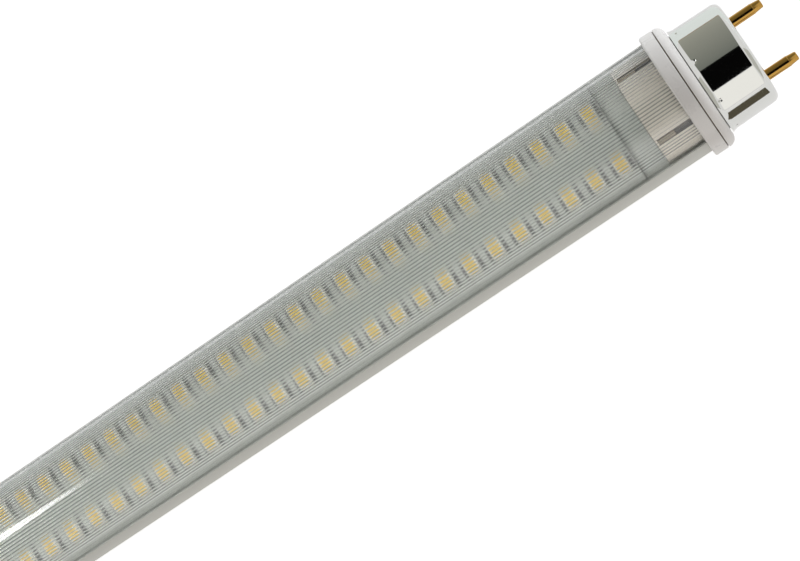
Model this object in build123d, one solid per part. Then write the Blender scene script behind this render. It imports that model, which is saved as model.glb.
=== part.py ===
from build123d import *
import os
from math import acos, cos, degrees, radians, sin, sqrt

# A straight LED tube with a two-pin cap at each end, in millimetres.
# The tube's axis is X and the origin is its middle. +X points to one cap and +Z is the way the LEDs face.
# Angles in the tube's section are counted from straight up (+Z).

# Tube
cap_face_span = 589.8  # from one cap's end face to the other's
tube_radius = 12.7  # outside of the cover and of the housing
window_half_angle = 67.5  # the cover shows this far each way from straight up

# Clear cover
cover_wall = 1.28
rib_height = 0.07  # lens ribs on the inside, measured from the valleys
rib_pitch = 3.25  # degrees
ribbed_half_angle = 57.0  # the ribs reach at most this far each way from straight up
foot_play = 0.05  # between the cover's foot and the housing's lip
seam_gap = 0.05  # between the cover's edge and the lip's end
toe_reach = 0.7  # how far the foot's toe reaches in over the board's edge
toe_height = 0.7
toe_play = 0.05  # between the toe and the board

# Housing, one aluminium extrusion
lip_wall = 0.7
bead_radius = 0.25  # snap bead on the lip's inside
bead_play = 0.05
bead_rise = 0.55  # height of the bead above the foot's seat
side_wall = 1.2  # least wall beside the board's pocket
shelf_top = 2.1  # height of the board's seat above the axis
shelf_wall = 1.3
cavity_wall = 1.8  # wall round the hollow behind the shelf
fin_depth = 0.8
fin_gap = 0.8
fin_pitch = 8.0  # degrees
fin_field_half_angle = 72.0  # the fins reach this far each way from straight down

# LED board
board_thickness = 1.2
board_side_play = 0.1
board_end_gap = 5.29  # bare shelf between the plug's sleeve and the board

# LEDs
led_pitch = 6.023
led_row_offset = 5.6  # middle of each row from the board's middle line
led_length = 3.5  # along the tube
led_width = 2.8
led_height = 1.9
led_end_inset = 2.4  # least distance from the board's end to the first LED's middle
phosphor_width = 2.1
phosphor_thickness = 0.1

# Plug
collar_width = 3.1
collar_edge_bevel = 0.5
sleeve_reach = 8.21  # how far the sleeve goes into the tube under the cover
sleeve_wall = 1.4
sleeve_half_angle = 64.0
sleeve_play = 0.1
slot_width = 1.4
slot_angle = 41.0
slot_end_land = 1.2  # closed end left past each slot
tongue_reach = 12.0  # how far the tongue goes into the hollow behind the shelf
tongue_wall = 1.3
tongue_play = 0.15
spigot_wall = 1.4
spigot_play = 0.1

# Cap ring
ring_width = 2.1
ring_step = 1.9  # height of the ring and the collar above the shell's flare
ring_bevel = 0.9
ring_play = 0.05

# Cap shell
shell_length = 11.5
shell_wall = 0.4
shell_lip_radius = 11.65
shell_taper = 0.2  # the shell's radius shrinks by this much towards its end
shell_corner_bevel = 0.6
flare_height = 0.4
flare_length = 0.9
crimp_count = 8
crimp_phase = -8.0  # degrees from straight up
crimp_inset = 1.54  # from the shell's lip
crimp_radius = 0.45
crimp_depth = 0.2
crimp_sides = 6
crimp_slope = 45.0  # degrees, of the dents' sides

# Pins and their insulator
pin_spacing = 12.7
pin_radius = 1.15
pin_shank_radius = 0.9  # over the corners of the shank
shank_sides = 6
pin_straight = 5.18
pin_nose = 1.91
pin_tip_radius = 0.95
insulator_wall = 2.0
insulator_edge_gap = 0.5  # room for the shell's inner corner
island_half_width = 2.6  # of the raised island that shows in the shell's end
island_play = 0.05
shank_play = 0.02

# Driver
film_wall = 0.25
film_play = 0.1
film_end_gap = 2.0
driver_drop = 1.6  # from the hollow's top to the driver board's top
driver_board_thickness = 1.0
driver_board_play = 0.1
driver_length = 150.0
driver_end_gap = 6.0
fuse_radius = 1.5
fuse_length = 6.0
noise_capacitor_size = (5.0, 10.0, 5.5)
choke_radius = 3.4
choke_height = 5.0
rectifier_size = (4.8, 6.0, 2.0)
bulk_radius = 3.4
bulk_length = 14.0
bulk_gap = 2.0
core_size = (13.0, 10.5, 4.6)
core_leg = 2.4
winding_margin = 0.3
winding_wall = 1.1  # the coil stands this far above and below the core's middle leg
chip_size = (5.0, 4.0, 1.6)
diode_size = (4.5, 2.6, 2.2)
output_radius = 3.0
output_length = 11.0
part_gap = 4.0  # between neighbours on the driver board

# Leads
lead_radius = 0.5
lead_sides = 6  # the hidden round leads are kept to six flats each
link_thickness = 0.4
link_width = 2.0
link_overhang = 1.0  # past each pin's middle
output_post_size = 0.64  # square
output_post_spacing = 2.0
output_post_inset = 7.0  # from the LED board's end
output_post_rise = 1.0  # above the LED board
output_hole_play = 0.5

overcut = 1.0  # how far a cutting body reaches past what it cuts

# Places along the tube, for the end at +X
cap_face = cap_face_span / 2
shell_lip = cap_face - shell_length
ring_back = shell_lip - ring_width
tube_end = ring_back - collar_width
sleeve_end = tube_end - sleeve_reach
board_end = sleeve_end - board_end_gap
insulator_back = cap_face - shell_wall - insulator_wall
link_back = insulator_back - link_thickness
tongue_end = tube_end - tongue_reach

# Heights and radii in the section
board_top = shelf_top + board_thickness
foot_seat = board_top + toe_play
cavity_top = shelf_top - shelf_wall
cavity_radius = tube_radius - cavity_wall
lip_inner_radius = tube_radius - lip_wall
foot_radius = lip_inner_radius - foot_play
valley_radius = tube_radius - cover_wall
pocket_half_width = sqrt((tube_radius - side_wall) ** 2 - foot_seat**2)
board_half_width = pocket_half_width - board_side_play
toe_half_width = pocket_half_width - toe_reach
shell_end_radius = shell_lip_radius - shell_taper
collar_radius = shell_lip_radius + flare_height + ring_step
bead_angle = degrees(acos((foot_seat + bead_rise) / lip_inner_radius))
spigot_radius = shell_end_radius - shell_wall - spigot_play
insulator_radius = spigot_radius - insulator_edge_gap

# The driver lies in the hollow near the -X end
film_radius = cavity_radius - film_play
film_top = cavity_top - film_play
film_start = -tongue_end + film_end_gap
driver_start = -tongue_end + driver_end_gap
driver_end = driver_start + driver_length
driver_top = cavity_top - driver_drop
driver_under = driver_top - driver_board_thickness
driver_middle = (driver_top + driver_under) / 2
driver_half_width = sqrt((film_radius - film_wall) ** 2 - driver_under**2) - driver_board_play
output_x = -board_end + output_post_inset


def at_angle(radius, angle):
    """A point of the section at a radius and at degrees from straight up."""
    return (radius * sin(radians(angle)), radius * cos(radians(angle)))


def run_along(section, start, end):
    """The section made solid between two places along the tube."""
    return extrude(Plane.YZ.offset(start) * section, end - start)


def turned(outline):
    """A half outline, drawn as length along X and radius along Y, turned about the tube's axis."""
    return revolve(make_face(outline), Axis.X)


def disc(radius, start, end):
    """A round plate across the tube."""
    return run_along(Circle(radius), start, end)


def flat_topped(radius, top):
    """The part of a disc that lies below a level."""
    return Circle(radius) - Pos(0, top + radius) * Rectangle(3 * radius, 2 * radius)


def above(section, level, reach):
    """The part of a section that lies above a level."""
    return section - Pos(0, level - reach) * Rectangle(4 * reach, 2 * reach)


def snap_beads(radius):
    """The two beads that hold the cover, as discs in the section."""
    return [Pos(*at_angle(lip_inner_radius, side * bead_angle)) * Circle(radius) for side in (-1, 1)]


def fin_grooves():
    """The grooves between the fins of the housing's back."""
    steps = int(fin_field_half_angle / fin_pitch)
    groove = Pos(0, -tube_radius) * Rectangle(fin_gap, 2 * fin_depth)
    return [Rot(0, 0, step * fin_pitch) * groove for step in range(-steps, steps + 1)]


def output_hole():
    """The hole through which the output posts rise, as an upright slug."""
    width = output_post_size + 2 * output_hole_play
    height = board_top - cavity_top + 2 * overcut
    slug = Box(width, output_post_spacing + width, height)
    return Pos(output_x, 0, (board_top + cavity_top) / 2) * slug


def heat_sink_housing():
    """The extruded housing: lips for the cover, a pocket and shelf for the board, a hollow and fins behind."""
    edge = window_half_angle
    reach = 2 * tube_radius
    wedge = make_face(Polyline((0, 0), at_angle(reach, edge), (0, reach * 2), at_angle(reach, -edge), close=True))
    section = Circle(tube_radius)
    section -= wedge - Circle(lip_inner_radius)
    section -= above(Circle(lip_inner_radius), foot_seat, tube_radius)
    section -= Pos(0, (shelf_top + foot_seat) / 2) * Rectangle(2 * pocket_half_width, foot_seat - shelf_top)
    section -= flat_topped(cavity_radius, cavity_top)
    section -= fin_grooves()
    section += snap_beads(bead_radius)
    return run_along(section, -tube_end, tube_end) - output_hole()


def clear_cover():
    """The clear cover: an arc whose inside carries lens ribs and whose feet hook behind the housing's lips."""
    edge = window_half_angle - degrees(seam_gap / tube_radius)
    toe_top = foot_seat + toe_height
    foot_corner = (sqrt(foot_radius**2 - foot_seat**2), foot_seat)
    foot_middle = (edge + degrees(acos(foot_seat / foot_radius))) / 2
    valley_start = degrees(acos(toe_top / valley_radius))
    ribs = int(2 * min(ribbed_half_angle, valley_start) / rib_pitch)
    rib_start = ribs * rib_pitch / 2
    right_side = [
        Line(at_angle(tube_radius, edge), at_angle(foot_radius, edge)),
        ThreePointArc(at_angle(foot_radius, edge), at_angle(foot_radius, foot_middle), foot_corner),
        Polyline(
            foot_corner,
            (toe_half_width, foot_seat),
            (toe_half_width, toe_top),
            at_angle(valley_radius, valley_start),
        ),
        ThreePointArc(
            at_angle(valley_radius, valley_start),
            at_angle(valley_radius, (valley_start + rib_start) / 2),
            at_angle(valley_radius, rib_start),
        ),
    ]
    outline = Curve() + right_side + [mirror(piece, about=Plane.YZ) for piece in right_side]
    outline += ThreePointArc(at_angle(tube_radius, -edge), (0, tube_radius), at_angle(tube_radius, edge))
    for rib in range(ribs):
        start = -rib_start + rib * rib_pitch
        outline += ThreePointArc(
            at_angle(valley_radius, start),
            at_angle(valley_radius - rib_height, start + rib_pitch / 2),
            at_angle(valley_radius, start + rib_pitch),
        )
    section = make_face(outline.edges()) - snap_beads(bead_radius + bead_play)
    return run_along(section, -tube_end, tube_end)


def led_board():
    """The board that lies on the shelf, with the hole for the output leads."""
    section = Pos(0, shelf_top + board_thickness / 2) * Rectangle(2 * board_half_width, board_thickness)
    return run_along(section, -board_end, board_end) - output_hole()


def led_places(side):
    """Where the LEDs of one row stand on the board."""
    steps = int((2 * (board_end - led_end_inset)) / led_pitch)
    return [Pos((step - steps / 2) * led_pitch, side * led_row_offset, board_top) for step in range(steps + 1)]


def led_bodies(side):
    """One row of white LED packages."""
    body = Pos(0, 0, led_height / 2) * Box(led_length, led_width, led_height)
    return Compound([place * body for place in led_places(side)])


def phosphor_windows(side):
    """One row of yellow windows, each on top of its LED package."""
    window = Pos(0, 0, led_height + phosphor_thickness / 2) * Box(phosphor_width, phosphor_width, phosphor_thickness)
    return Compound([place * window for place in led_places(side)])


def plug():
    """The plastic plug: a collar outside, a slotted sleeve and a tongue in the tube, a spigot in the cap shell."""
    collar_outline = Polyline(
        (tube_end, 0),
        (tube_end, collar_radius - collar_edge_bevel),
        (tube_end + collar_edge_bevel, collar_radius),
        (ring_back, collar_radius),
        (ring_back, 0),
        close=True,
    )
    body = turned(collar_outline)
    body += disc(spigot_radius, ring_back, insulator_back)
    body -= disc(spigot_radius - spigot_wall, ring_back, insulator_back)
    body += sleeve()
    tongue = flat_topped(cavity_radius - tongue_play, cavity_top - tongue_play)
    body += run_along(tongue, tongue_end, tube_end)
    wire_way = flat_topped(cavity_radius - tongue_play - tongue_wall, cavity_top - tongue_play - tongue_wall)
    return body - run_along(wire_way, tongue_end, ring_back)


def sleeve():
    """The arch under the cover, standing on the shelf, with its two slots."""
    outer = valley_radius - rib_height - sleeve_play
    half_width = outer * sin(radians(sleeve_half_angle))
    foot = shelf_top + sleeve_play
    arch = above(Circle(outer), foot, tube_radius) & Rectangle(2 * half_width, 4 * outer)
    arch -= above(Circle(outer - sleeve_wall), foot - overcut, tube_radius) & Rectangle(
        2 * (half_width - sleeve_wall), 4 * outer
    )
    body = run_along(arch, sleeve_end, tube_end)
    slot_length = tube_end - sleeve_end - slot_end_land
    slot = Pos(tube_end - slot_length / 2, 0, outer - sleeve_wall / 2) * Box(
        slot_length, slot_width, 3 * sleeve_wall
    )
    for angle in (-slot_angle, slot_angle):
        body -= Rot(angle, 0, 0) * slot
    return body


def cap_ring():
    """The white ring between the collar and the cap shell."""
    bore = spigot_radius + ring_play
    outline = Polyline(
        (ring_back, bore),
        (ring_back, collar_radius),
        (shell_lip - ring_bevel, collar_radius),
        (shell_lip, collar_radius - ring_bevel),
        (shell_lip, bore),
        close=True,
    )
    return turned(outline)


def cap_shell():
    """The chrome shell: a drawn cup with a flared lip, crimp dents and an island-shaped hole in its end."""
    inner_end = cap_face - shell_wall
    outline = Polyline(
        (shell_lip, shell_lip_radius - shell_wall),
        (shell_lip, shell_lip_radius + flare_height),
        (shell_lip + flare_length, shell_lip_radius),
        (cap_face - shell_corner_bevel, shell_end_radius),
        (cap_face, shell_end_radius - shell_corner_bevel),
        (cap_face, 0),
        (inner_end, 0),
        (inner_end, shell_end_radius - shell_wall - shell_corner_bevel),
        (inner_end - shell_corner_bevel, shell_end_radius - shell_wall),
        close=True,
    )
    shell = turned(outline)
    shell -= run_along(island(island_play), inner_end - overcut, cap_face + overcut)
    taper = (shell_lip_radius - shell_end_radius) / (shell_length - flare_length - shell_corner_bevel)
    surface = shell_lip_radius - taper * (crimp_inset - flare_length)
    dent = extrude(RegularPolygon(crimp_radius, crimp_sides), -crimp_depth, taper=crimp_slope)
    for turn in range(crimp_count):
        angle = crimp_phase + turn * 360 / crimp_count
        shell -= Rot(angle, 0, 0) * Pos(shell_lip + crimp_inset, 0, surface) * dent
    return shell


def island(play):
    """The long rounded outline round both pins, across the tube's end."""
    width = 2 * (island_half_width + play)
    return SlotOverall(pin_spacing + width, width)


def pin_insulator():
    """The insulating plate behind the shell's end, with the raised island that the pins stand in."""
    plate = disc(insulator_radius, insulator_back, cap_face - shell_wall)
    plate += run_along(island(0), cap_face - shell_wall, cap_face)
    for side in (-1, 1):
        hole = Pos(side * pin_spacing / 2, 0) * RegularPolygon(pin_shank_radius + shank_play, shank_sides)
        plate -= run_along(hole, insulator_back, cap_face)
    return plate


def contact_pin(side):
    """A brass pin: a six-sided shank that can't turn in the insulator, a straight part and a tapered nose."""
    straight_end = cap_face + pin_straight
    tip = straight_end + pin_nose
    outline = Polyline(
        (cap_face, 0),
        (cap_face, pin_radius),
        (straight_end, pin_radius),
        (tip, pin_tip_radius),
        (tip, 0),
        close=True,
    )
    shank = run_along(RegularPolygon(pin_shank_radius, shank_sides), insulator_back, cap_face)
    return Pos(0, side * pin_spacing / 2, 0) * (turned(outline) + shank)


def pin_link():
    """The strip that joins the backs of a cap's two pins."""
    strip = Box(link_thickness, pin_spacing + 2 * link_overhang, link_width)
    return Pos(insulator_back - link_thickness / 2, 0, 0) * strip


def under_driver(x, height, y=0):
    """A place under the driver board for a piece whose middle is half its height below it."""
    return Pos(x, y, driver_under - height / 2)


def lying_can(x, radius, length):
    """A round part that lies along the tube against the driver board's underside."""
    return under_driver(x, 2 * radius) * Rot(0, 90, 0) * Cylinder(radius, length)


def driver_film():
    """The insulating film round the driver, with the hole for the output leads."""
    section = flat_topped(film_radius, film_top)
    section -= flat_topped(film_radius - film_wall, film_top - film_wall)
    film = run_along(section, film_start, driver_end + film_end_gap)
    return film - output_hole()


def driver_board():
    """The driver's board, held between the film's sides."""
    middle = driver_under + driver_board_thickness / 2
    section = Pos(0, middle) * Rectangle(2 * driver_half_width, driver_board_thickness)
    return run_along(section, driver_start, driver_end)


def choke(x):
    """A drum choke standing on the board."""
    return under_driver(x, choke_height) * Cylinder(choke_radius, choke_height)


def transformer_core(x):
    """Two E-shaped core halves as one closed block with its two windows."""
    length, width, height = core_size
    window_width = (width - 3 * core_leg) / 2
    window = Box(length - 2 * core_leg, window_width, height)
    core = Box(length, width, height)
    for side in (-1, 1):
        core -= Pos(0, side * (core_leg + window_width) / 2, 0) * window
    return under_driver(x, height + 2 * winding_wall) * core


def transformer_winding(x):
    """The coil round the core's middle leg, which carries the core off the board."""
    length, width, height = core_size
    window_width = (width - 3 * core_leg) / 2
    coil_length = length - 2 * core_leg - 2 * winding_margin
    coil_width = core_leg + 2 * (window_width - winding_margin)
    coil = Box(coil_length, coil_width, height + 2 * winding_wall)
    coil -= Box(coil_length, core_leg, height)
    return under_driver(x, height + 2 * winding_wall) * coil


def bulk_capacitors(x):
    """Two electrolytic capacitors that lie one behind the other."""
    offset = (bulk_length + bulk_gap) / 2
    return Compound([lying_can(x + side * offset, bulk_radius, bulk_length) for side in (-1, 1)])


def driver_parts():
    """The driver's parts, set in a row from the input end to the output end."""
    row = [
        ("fuse_resistor", fuse_length, lambda x: lying_can(x, fuse_radius, fuse_length)),
        ("noise_capacitor", noise_capacitor_size[0], lambda x: block(x, noise_capacitor_size)),
        ("input_choke", 2 * choke_radius, choke),
        ("bridge_rectifier", rectifier_size[0], lambda x: block(x, rectifier_size)),
        ("bulk_capacitors", 2 * bulk_length + bulk_gap, bulk_capacitors),
        ("transformer_core", core_size[0], transformer_core),
        ("controller_chip", chip_size[0], lambda x: block(x, chip_size)),
        ("output_diode", diode_size[0], lambda x: block(x, diode_size)),
        ("output_capacitor", output_length, lambda x: lying_can(x, output_radius, output_length)),
    ]
    made = {}
    edge = driver_end - part_gap
    for name, length, make in row:
        middle = edge - length / 2
        made[name] = make(middle)
        if name == "transformer_core":
            made["transformer_winding"] = transformer_winding(middle)
        edge -= length + part_gap
    return made


def block(x, size):
    """A plain boxed part against the driver board's underside."""
    return under_driver(x, size[2]) * Box(*size)


def mains_lead(end, driver_x):
    """The lead from the pin link at one end (1 or -1) of the tube to the end of the driver board."""
    start = end * link_back
    lead = RegularPolygon(lead_radius, lead_sides)
    return Pos(0, pin_spacing / 2, driver_middle) * run_along(lead, min(start, driver_x), max(start, driver_x))


def output_post(side):
    """A post that rises from the driver board through the shelf and the LED board."""
    length = board_top + output_post_rise - driver_top
    return Pos(output_x, side * output_post_spacing / 2, driver_top + length / 2) * Box(
        output_post_size, output_post_size, length
    )


def end_pieces():
    """The pieces of the cap at +X."""
    return {
        "plug": plug(),
        "cap_ring": cap_ring(),
        "cap_shell": cap_shell(),
        "pin_insulator": pin_insulator(),
        "pin_link": pin_link(),
    }


def both_ends(piece):
    """A piece of the cap at +X with its mirror image at the other end."""
    return Compound([*piece.solids(), *mirror(piece, about=Plane.YZ).solids()])


def all_pieces():
    """Every piece of the tube by its name."""
    pieces = {
        "heat_sink_housing": heat_sink_housing(),
        "clear_cover": clear_cover(),
        "led_board": led_board(),
        "front_led_row": led_bodies(-1),
        "back_led_row": led_bodies(1),
        "front_phosphor_row": phosphor_windows(-1),
        "back_phosphor_row": phosphor_windows(1),
        "driver_film": driver_film(),
        "driver_board": driver_board(),
        "right_mains_lead": mains_lead(1, driver_end),
        "left_mains_lead": mains_lead(-1, driver_start),
        "front_output_post": output_post(-1),
        "back_output_post": output_post(1),
    }
    pieces.update(driver_parts())
    for name, piece in end_pieces().items():
        pieces[f"{name}s"] = both_ends(piece)
    for name, side in (("front", -1), ("back", 1)):
        pin = contact_pin(side)
        pieces[f"right_{name}_pin"] = pin
        pieces[f"left_{name}_pin"] = mirror(pin, about=Plane.YZ)
    return pieces


os.makedirs("parts", exist_ok=True)
for node, solid in all_pieces().items():
    export_step(solid, f"parts/{node}.step")
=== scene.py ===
from math import acos, asin, atan2, cos, hypot, pi, radians, sin, sqrt, tan

import bmesh
import bpy
from mathutils import Matrix, Vector


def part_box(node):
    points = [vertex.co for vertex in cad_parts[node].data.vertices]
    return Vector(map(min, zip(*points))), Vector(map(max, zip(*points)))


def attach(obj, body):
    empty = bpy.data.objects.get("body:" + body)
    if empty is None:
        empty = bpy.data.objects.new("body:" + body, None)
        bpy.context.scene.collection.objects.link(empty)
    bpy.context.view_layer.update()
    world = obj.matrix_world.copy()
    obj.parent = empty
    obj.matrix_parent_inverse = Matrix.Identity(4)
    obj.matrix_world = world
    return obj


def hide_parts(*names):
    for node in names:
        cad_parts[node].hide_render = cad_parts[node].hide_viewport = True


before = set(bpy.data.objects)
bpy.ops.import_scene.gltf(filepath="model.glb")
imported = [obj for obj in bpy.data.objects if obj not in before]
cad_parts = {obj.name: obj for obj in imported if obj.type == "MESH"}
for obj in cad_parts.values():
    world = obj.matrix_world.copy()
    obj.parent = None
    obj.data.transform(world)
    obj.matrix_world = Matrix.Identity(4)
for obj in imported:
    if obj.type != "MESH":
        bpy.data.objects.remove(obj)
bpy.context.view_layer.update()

MM = 0.001


def node_box(name):
    """Lowest and highest corners of a CAD node."""
    low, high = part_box(name)
    return Vector(low), Vector(high)


# Sizes read from the frame
tube_end = node_box("heat_sink_housing")[1].x
tube_radius = node_box("heat_sink_housing")[1].y
board_end = node_box("led_board")[1].x
shelf_top = node_box("led_board")[0].z
board_top = node_box("led_board")[1].z
led_top = node_box("front_led_row")[1].z
row_offset = (node_box("back_led_row")[0].y + node_box("back_led_row")[1].y) / 2
cap_face = node_box("cap_shells")[1].x
pin_tip = node_box("right_back_pin")[1].x
collar_radius = node_box("plugs")[1].y
ring_front = node_box("cap_rings")[1].x
shell_lip = ring_front
floor_level = -collar_radius

# Cover and housing section
window_half_angle = radians(67.5)
cover_wall = 1.28 * MM
rib_depth = 0.072 * MM
rib_roundness = 1.6
rib_pitch = radians(3.25)
rib_count = 35
rib_facets = 14
lip_wall = 0.7 * MM
side_wall = 1.2 * MM
toe_reach = 0.7 * MM
toe_height = 0.7 * MM
toe_play = 0.05 * MM
foot_play = 0.05 * MM
cover_in_lip = 0.01 * MM
shelf_wall = 1.3 * MM
cavity_wall = 1.8 * MM
fin_depth = 0.8 * MM
fin_gap = 0.8 * MM
fin_edge = 0.12 * MM
fin_root = 0.15 * MM
fin_land_start = 0.2
fin_land_end = 1.25
fin_floor_share = 0.6
fin_pitch = radians(8.0)
fin_field_half_angle = radians(72.0)

# Caps
ring_width = 2.1 * MM
ring_front_edge = 1.85 * MM
ring_seam_edge = 0.12 * MM
ring_bore = 11.0 * MM
seam_gap = 0.1 * MM
seam_depth = 0.3 * MM
seam_shade_reach = 0.25 * MM
collar_width = 3.1 * MM
collar_edge = 0.45 * MM
collar_seam_edge = 0.2 * MM
plug_bore = 9.45 * MM
spigot_radius = 10.95 * MM
sleeve_play = 0.1 * MM
sleeve_radius = tube_radius - cover_wall - rib_depth - sleeve_play
sleeve_reach = 8.21 * MM
sleeve_wall = 1.4 * MM
sleeve_half_angle = radians(64.0)
sleeve_columns = 48
sleeve_end_shade = 0.12 * MM
slot_shade_angle = radians(50.0)
slot_angle = radians(38.5)
slot_width = 1.4 * MM
slot_end_land = 0.5 * MM
slot_gap = 0.26 * MM
slot_depths = (0.1 * MM, 0.8 * MM)
lip_gap = 0.2 * MM
shell_lip_radius = 11.65 * MM
shell_end_radius = 11.45 * MM
shell_wall = 0.4 * MM
shell_edge = 1.5 * MM
shell_inner_edge = 1.1 * MM
shell_stations = [k / 10 for k in range(1, 11)] + [1.15, 1.3, 1.8, 3.0, 4.5, 6.0, 7.5, 8.3]
flare_height = 0.4 * MM
flare_length = 1.35 * MM
flare_steps = 6
crimp_count = 8
crimp_phase = radians(-8.0)
crimp_inset = 1.54 * MM
crimp_radius = 0.5 * MM
crimp_depth = 0.22 * MM
crimp_band = 3 * MM
pin_spacing = 12.7 * MM
pin_radius = 1.15 * MM
pin_tip_radius = 0.95 * MM
pin_nose = 1.91 * MM
nose_edge = 0.06 * MM
pin_tip_edge = 0.2 * MM
pin_root = cap_face - 2.4 * MM
island_half_width = 2.65 * MM
end_disc_radius = 9.2 * MM
turned_sides = 160
shell_sides = 384
pin_sides = 48
island_steps = 24

# LEDs
led_pitch = 6.023 * MM
led_count = 88
led_length = 3.05 * MM
led_width = 2.8 * MM
led_lean = 0.12 * MM
led_edge = 0.08 * MM
led_waist = 0.45
board_end_shade = 0.15 * MM
led_sides = 24
led_angles = [2 * pi * (k + 0.5) / led_sides for k in range(led_sides)]
window_radius = 1.2 * MM
window_squareness = 2.5
cup_depth = 0.35 * MM
cup_floor_share = 0.85
terminal_reach = 0.22 * MM
terminal_height = 0.62 * MM
solder_reach = 0.62 * MM
solder_half_width = 1.2 * MM

# Finish of the cover: painted shade lines in the ribs' valleys, haze, and frosted edges
valley_start = 0.26
valley_end = 0.46
shade_line_middle = radians(8.0)
shade_line_full = radians(7.6)
shade_line_reach = radians(19.0)
shade_line_left = 0.2
frost_start = radians(54.0)
frost_end = radians(61.0)
frost_haze = 0.1
inside_haze = 0.07
cover_haze = (0.06, 0.1)
cover_colour = (0.98, 0.98, 0.97, 1.0)
# painted shade: the colour of the dark lines in the ribs' valleys
rib_shade_colour = (0.12, 0.15, 0.15, 1.0)

# Camera, from the photo's outline of the tube
lens_mm = 83.25
sensor_mm = 36.0
photo_width = 800
axis_angle = radians(33.99)
axis_offset_px = 3.1
look_x = cap_face - 83.95 * MM
look_distance = 380.7 * MM
axis_tilt = radians(10.95)
tube_roll = radians(11.25)


def add_object(name, data):
    """An object in the scene."""
    made = bpy.data.objects.new(name, data)
    bpy.context.scene.collection.objects.link(made)
    return made


def emptied_tree(owner):
    """The node tree of a material or world, emptied."""
    owner.use_nodes = True
    owner.node_tree.nodes.clear()
    return owner.node_tree


def fresh_material(name):
    """An empty node material with a Principled shader and its output."""
    material = bpy.data.materials.new(name)
    tree = emptied_tree(material)
    output = tree.nodes.new("ShaderNodeOutputMaterial")
    shader = tree.nodes.new("ShaderNodeBsdfPrincipled")
    tree.links.new(shader.outputs["BSDF"], output.inputs["Surface"])
    return material, tree, shader, output


def feed(tree, socket, value):
    """Gives a node's input another node's output, or a plain value."""
    if isinstance(value, bpy.types.NodeSocket):
        tree.links.new(value, socket)
    else:
        socket.default_value = value


def maths(tree, operation, *values):
    """A maths node fed with outputs or numbers. Returns its output."""
    node = tree.nodes.new("ShaderNodeMath")
    node.operation = operation
    for socket, value in zip(node.inputs, values):
        feed(tree, socket, value)
    return node.outputs[0]


def blend(tree, share, first, second):
    """A colour that goes from the first to the second with a share. Returns its output."""
    node = tree.nodes.new("ShaderNodeMix")
    node.data_type = "RGBA"
    feed(tree, node.inputs[0], share)
    feed(tree, node.inputs[6], first)
    feed(tree, node.inputs[7], second)
    return node.outputs[2]


def linear(colour):
    """A display colour of 0 to 255 made linear."""
    parts = [value / 255 for value in colour]
    return tuple(v / 12.92 if v <= 0.04045 else ((v + 0.055) / 1.055) ** 2.4 for v in parts) + (1.0,)


def surface_grain():
    """Shared effect: soft colour and roughness change over a surface, with a fine height for bump."""
    tree = bpy.data.node_groups.new("surface_grain", "ShaderNodeTree")
    for name, kind, value in (
        ("Colour", "NodeSocketColor", (0.8, 0.8, 0.8, 1.0)),
        ("Colour Change", "NodeSocketFloat", 0.05),
        ("Roughness", "NodeSocketFloat", 0.4),
        ("Roughness Change", "NodeSocketFloat", 0.1),
        ("Stretch", "NodeSocketVector", (1.0, 1.0, 1.0)),
        ("Grain Scale", "NodeSocketFloat", 800.0),
    ):
        tree.interface.new_socket(name=name, in_out="INPUT", socket_type=kind).default_value = value
    for name, kind in (
        ("Colour", "NodeSocketColor"),
        ("Roughness", "NodeSocketFloat"),
        ("Height", "NodeSocketFloat"),
    ):
        tree.interface.new_socket(name=name, in_out="OUTPUT", socket_type=kind)
    given = tree.nodes.new("NodeGroupInput").outputs
    result = tree.nodes.new("NodeGroupOutput").inputs
    place = tree.nodes.new("ShaderNodeTexCoord")
    stretch = tree.nodes.new("ShaderNodeVectorMath")
    stretch.operation = "MULTIPLY"
    feed(tree, stretch.inputs[0], place.outputs["Object"])
    feed(tree, stretch.inputs[1], given["Stretch"])
    grain = tree.nodes.new("ShaderNodeTexNoise")
    grain.inputs["Detail"].default_value = 4.0
    feed(tree, grain.inputs["Vector"], stretch.outputs["Vector"])
    feed(tree, grain.inputs["Scale"], given["Grain Scale"])
    centred = maths(tree, "SUBTRACT", grain.outputs["Fac"], 0.5)
    tint = tree.nodes.new("ShaderNodeVectorMath")
    tint.operation = "SCALE"
    feed(tree, tint.inputs[0], given["Colour"])
    feed(tree, tint.inputs["Scale"], maths(tree, "MULTIPLY_ADD", centred, given["Colour Change"], 1.0))
    rough = maths(tree, "MULTIPLY_ADD", centred, given["Roughness Change"], given["Roughness"])
    feed(tree, result["Colour"], tint.outputs["Vector"])
    feed(tree, result["Roughness"], rough)
    feed(tree, result["Height"], grain.outputs["Fac"])
    return tree


GRAIN = surface_grain()


def finish_material(name, colour, roughness, colour_change=0.04, roughness_change=0.06, scale=800.0,
                    stretch=(1.0, 1.0, 1.0), bump=0.02, bump_distance=0.02, metallic=0.0):
    """A material whose colour, roughness and bump come from the shared grain."""
    material, tree, shader, _ = fresh_material(name)
    grain = tree.nodes.new("ShaderNodeGroup")
    grain.node_tree = GRAIN
    for socket, value in (
        ("Colour", linear(colour)),
        ("Colour Change", colour_change),
        ("Roughness", roughness),
        ("Roughness Change", roughness_change),
        ("Stretch", stretch),
        ("Grain Scale", scale),
    ):
        grain.inputs[socket].default_value = value
    relief = tree.nodes.new("ShaderNodeBump")
    relief.inputs["Strength"].default_value = bump
    relief.inputs["Distance"].default_value = bump_distance * MM
    tree.links.new(grain.outputs["Height"], relief.inputs["Height"])
    tree.links.new(grain.outputs["Colour"], shader.inputs["Base Color"])
    tree.links.new(grain.outputs["Roughness"], shader.inputs["Roughness"])
    tree.links.new(relief.outputs["Normal"], shader.inputs["Normal"])
    shader.inputs["Metallic"].default_value = metallic
    return material


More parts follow.
